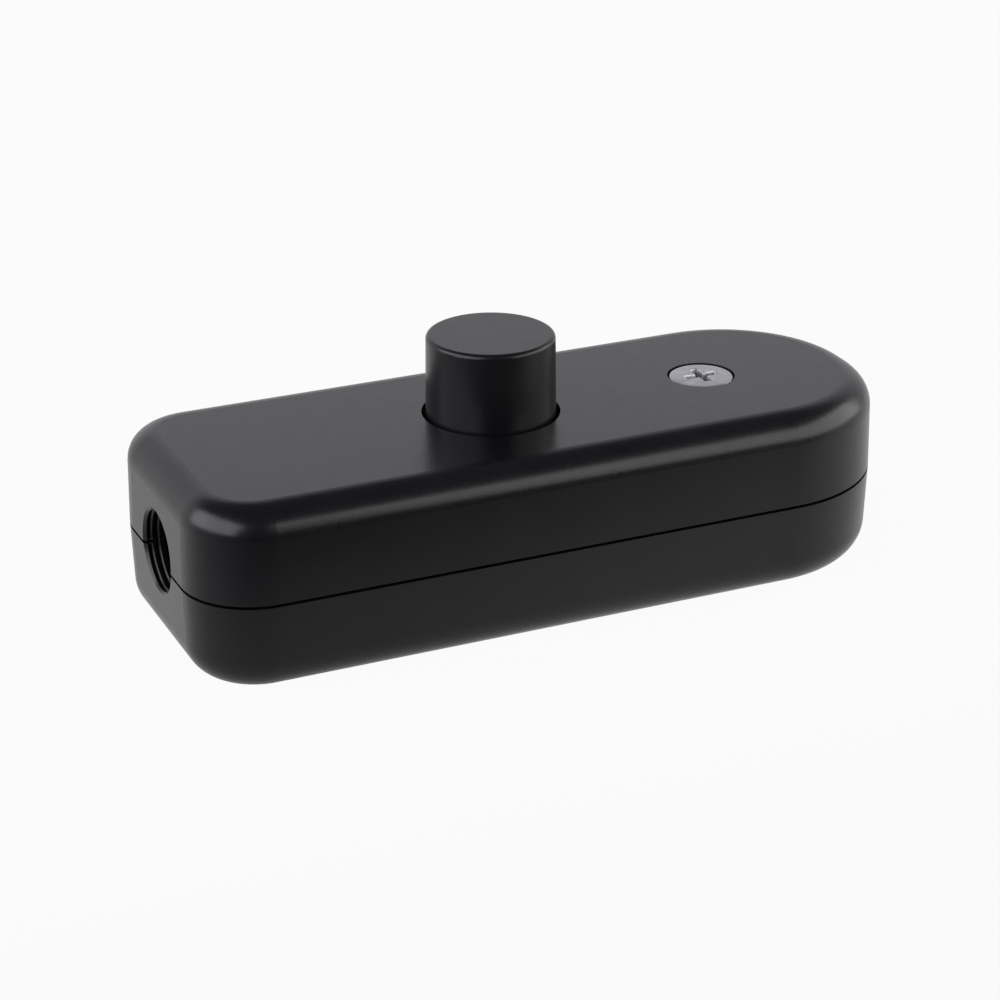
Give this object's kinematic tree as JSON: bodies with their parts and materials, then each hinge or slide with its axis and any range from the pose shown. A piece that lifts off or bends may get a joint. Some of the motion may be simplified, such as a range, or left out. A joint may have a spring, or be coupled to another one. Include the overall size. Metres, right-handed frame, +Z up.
{
  "type": "inline cord switch",
  "caption": "Slim inline cord switch with a round push knob on top, a cover screw and a round cord inlet in each end.",
  "frame": {"origin": "centre of the underside, on the surface that the switch rests on", "axes": "+X along the housing towards the cover screw and the round end, +Y across it, +Z up through the knob"},
  "size_m": [0.0749, 0.029, 0.0265],
  "materials": {
    "housing_plastic": "satin",
    "knob_plastic": "satin",
    "slider_plastic": "matte",
    "carrier_plastic": "matte",
    "clamp_plastic": "matte",
    "contact_metal": "bright",
    "terminal_brass": "bright",
    "spring_steel": "bright",
    "screw_steel": "zinc plated"
  },
  "bodies": {
    "case": {"upper_cover": "housing_plastic", "lower_base": "housing_plastic", "mechanism_carrier": "carrier_plastic", "latch_leaf_spring": "contact_metal", "cover_screw": "screw_steel", "cover_nut": "screw_steel", "line_contact_in": "contact_metal", "line_contact_out": "contact_metal", "neutral_link": "contact_metal", "terminal_block_neutral_in": "terminal_brass", "terminal_block_line_in": "terminal_brass", "terminal_block_neutral_out": "terminal_brass", "terminal_block_line_out": "terminal_brass", "terminal_screw_neutral_in": "screw_steel", "terminal_screw_line_in": "screw_steel", "terminal_screw_neutral_out": "screw_steel", "terminal_screw_line_out": "screw_steel", "clamp_screw_left_front": "screw_steel", "clamp_screw_left_back": "screw_steel", "clamp_screw_right_front": "screw_steel", "clamp_screw_right_back": "screw_steel", "cord_clamp_left": "clamp_plastic", "cord_clamp_right": "clamp_plastic"},
    "button": {"push_knob": "knob_plastic", "cam_slider": "slider_plastic", "contact_bridge": "contact_metal", "return_spring": "spring_steel"},
    "latch_wire": {"latch_wire": "spring_steel"}
  },
  "joints": [
    {"name": "button_press", "type": "slide", "parent": "case", "child": "button", "axis": [0, 0, -1], "range_m": [0, 0.004], "stiffness_N_per_m": 800, "springref_m": -0.0025, "deforming": ["return_spring"]},
    {"name": "latch_wire_swing", "type": "hinge", "parent": "case", "child": "latch_wire", "pos_m": [-0.003, -0.005, 0.0034], "axis": [0, 1, 0], "range_deg": [0, 16.8]}
  ],
  "couplings": [
    {"joint": "latch_wire_swing", "follows": "button_press", "rad_per_m": 73.003}
  ]
}
